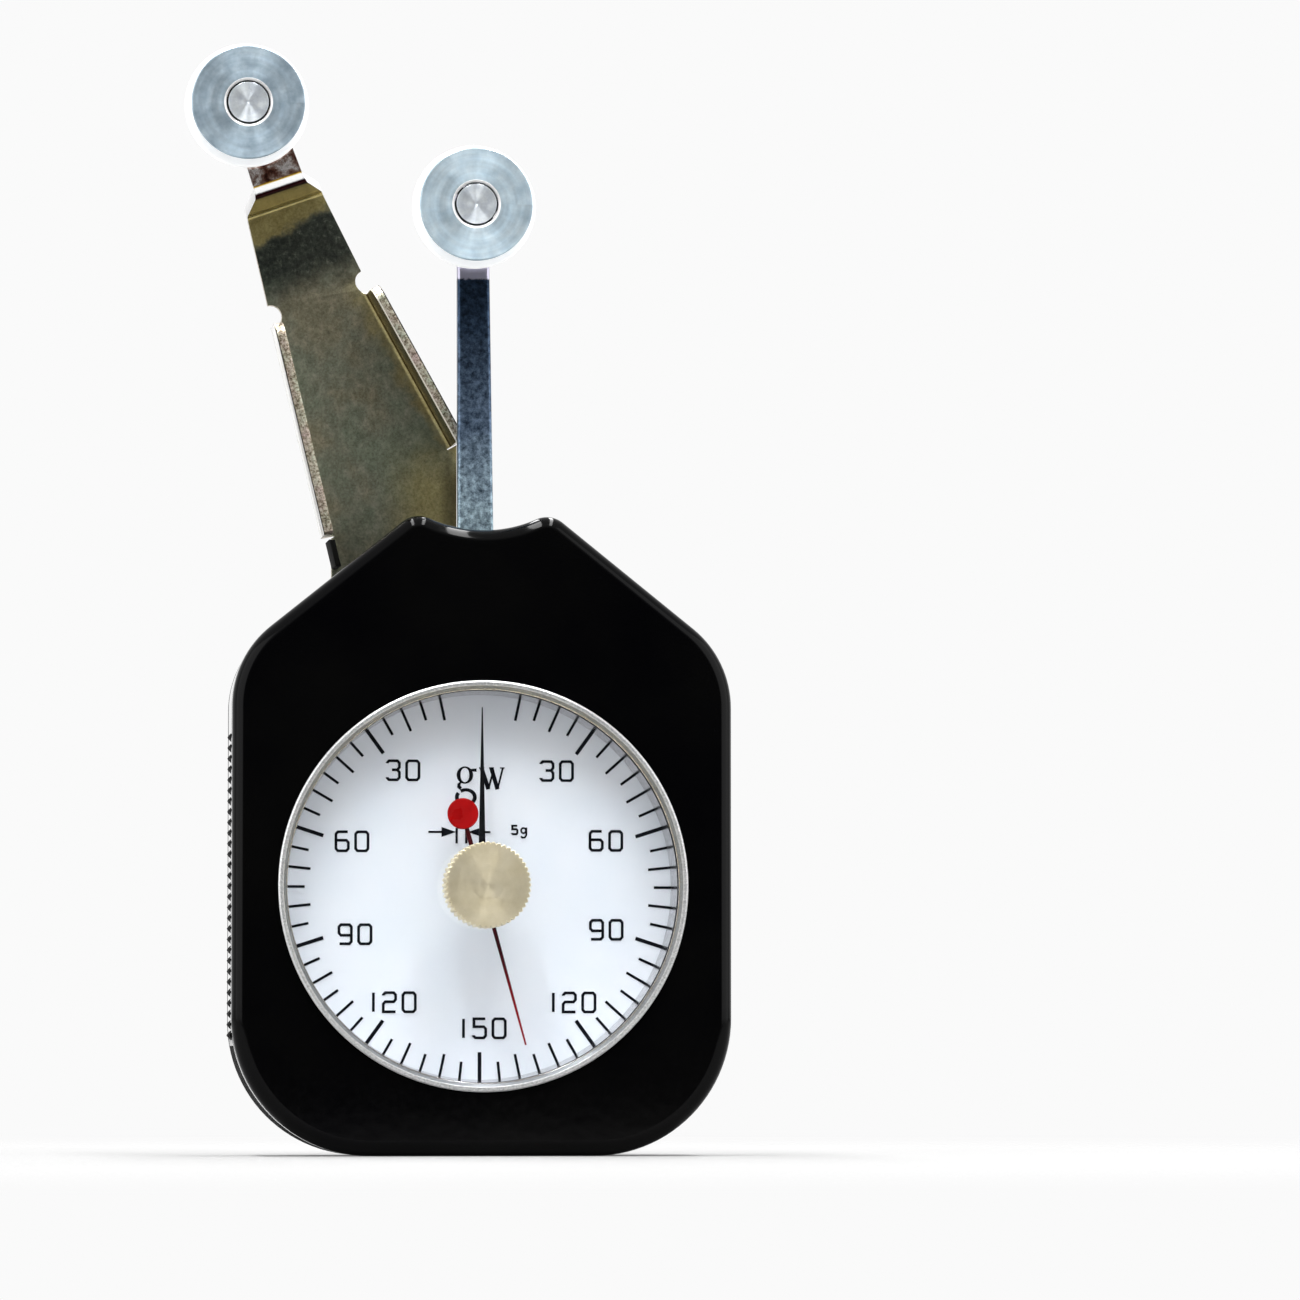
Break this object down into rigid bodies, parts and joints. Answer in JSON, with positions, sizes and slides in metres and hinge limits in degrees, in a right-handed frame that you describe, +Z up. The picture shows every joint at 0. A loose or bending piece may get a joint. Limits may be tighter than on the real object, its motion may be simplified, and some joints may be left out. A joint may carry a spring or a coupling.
{
  "type": "yarn tension meter",
  "caption": "Hand-held dial gauge for yarn tension with a fixed roller on a bent bracket, a sprung lever roller, a two-sided round dial and a resettable peak pointer.",
  "frame": {"origin": "on the flat base face, below the dial's centre line and 5.5 mm behind the seam between the covers", "axes": "+X to the right seen from the dial side, +Y away from the dial side towards the back cover, +Z up towards the rollers"},
  "size_m": [0.0678, 0.0285, 0.1385],
  "materials": {
    "black_case": "glossy moulded black plastic",
    "steel_screw": "bright zinc-plated steel",
    "satin_metal": "satin turned metal",
    "clear_crystal": "clear acrylic",
    "gasket": "pale grey silicone",
    "brass": "plain machined brass",
    "dial_white": "satin cool white",
    "dial_ink": "matt black print",
    "steel_arbor": "ground steel",
    "zinc_steel": "blue-white zinc plate with spangle",
    "spring_steel": "blued spring steel",
    "pointer_black": "satin black enamel",
    "pointer_red": "red enamel",
    "champagne_knob": "pale turned face with a fluted rim",
    "yellow_steel": "yellow-passivated steel sheet",
    "rubber_pad": "matt black",
    "aluminium": "satin anodised, faintly blue",
    "white_ring": "smooth white",
    "bearing_steel": "polished"
  },
  "bodies": {
    "case": {"front_cover": "black_case", "rear_cover": "black_case", "case_screws": "steel_screw", "bezel": "satin_metal", "crystal": "clear_crystal", "crystal_gasket": "gasket", "crystal_bush": "brass", "dial_plate": "dial_white", "dial_marks": "dial_ink", "movement_front_plate": "brass", "movement_back_plate": "brass", "movement_pillars": "brass", "front_plate_screws": "steel_screw", "back_plate_screws": "steel_screw", "lever_bushes": "brass", "stop_pins": "steel_arbor", "measuring_spring": "spring_steel", "spring_stud": "steel_arbor", "pointer_bushes": "brass", "hairspring": "spring_steel", "hairspring_stud": "steel_arbor", "bracket": "yellow_steel", "bracket_screws": "steel_screw", "bracket_pad": "rubber_pad", "fixed_roller_axle": "aluminium", "fixed_roller_nut": "steel_screw", "fixed_roller_spacer": "steel_screw", "fixed_bearing_inner": "bearing_steel", "fixed_bearing_balls": "bearing_steel"},
    "fixed_roller": {"fixed_roller_face": "aluminium", "fixed_roller_core": "aluminium", "fixed_roller_ring": "white_ring", "fixed_bearing_outer": "bearing_steel"},
    "lever": {"lever_arm": "zinc_steel", "lever_arbor": "steel_arbor", "lever_collet": "brass", "sector_gear": "brass", "spring_collet": "brass", "lever_roller_axle": "aluminium", "lever_roller_nut": "steel_screw", "lever_roller_spacer": "steel_screw", "lever_bearing_inner": "bearing_steel", "lever_bearing_balls": "bearing_steel"},
    "lever_roller": {"lever_roller_face": "aluminium", "lever_roller_core": "aluminium", "lever_roller_ring": "white_ring", "lever_bearing_outer": "bearing_steel"},
    "pointer": {"pointer_arbor": "steel_arbor", "pointer_pinion": "brass", "main_pointer": "pointer_black", "hairspring_collet": "brass"},
    "peak": {"peak_pointer": "pointer_red", "peak_disc": "pointer_red", "peak_spindle": "steel_arbor", "reset_knob": "champagne_knob"}
  },
  "joints": [
    {"name": "lever_swing", "type": "hinge", "parent": "case", "child": "lever", "pos_m": [0, 0, 0.06605], "axis": [0, 1, 0], "range_deg": [-16.8, 16.8], "stiffness_Nm_per_rad": 0.26, "deforming": ["measuring_spring"]},
    {"name": "pointer_spin", "type": "hinge", "parent": "case", "child": "pointer", "pos_m": [0, 0, 0.03325], "axis": [0, 1, 0], "range_deg": [-180.5, 180.5], "deforming": ["hairspring"]},
    {"name": "peak_spin", "type": "hinge", "parent": "case", "child": "peak", "pos_m": [0, 0, 0.03325], "axis": [0, 1, 0], "continuous": true},
    {"name": "lever_roller_spin", "type": "hinge", "parent": "lever", "child": "lever_roller", "pos_m": [-0.0005, 0, 0.11845], "axis": [0, 1, 0], "continuous": true},
    {"name": "fixed_roller_spin", "type": "hinge", "parent": "case", "child": "fixed_roller", "pos_m": [-0.029, 0, 0.1308], "axis": [0, 1, 0], "continuous": true}
  ],
  "couplings": [
    {"joint": "pointer_spin", "follows": "lever_swing", "ratio": -10.714}
  ]
}
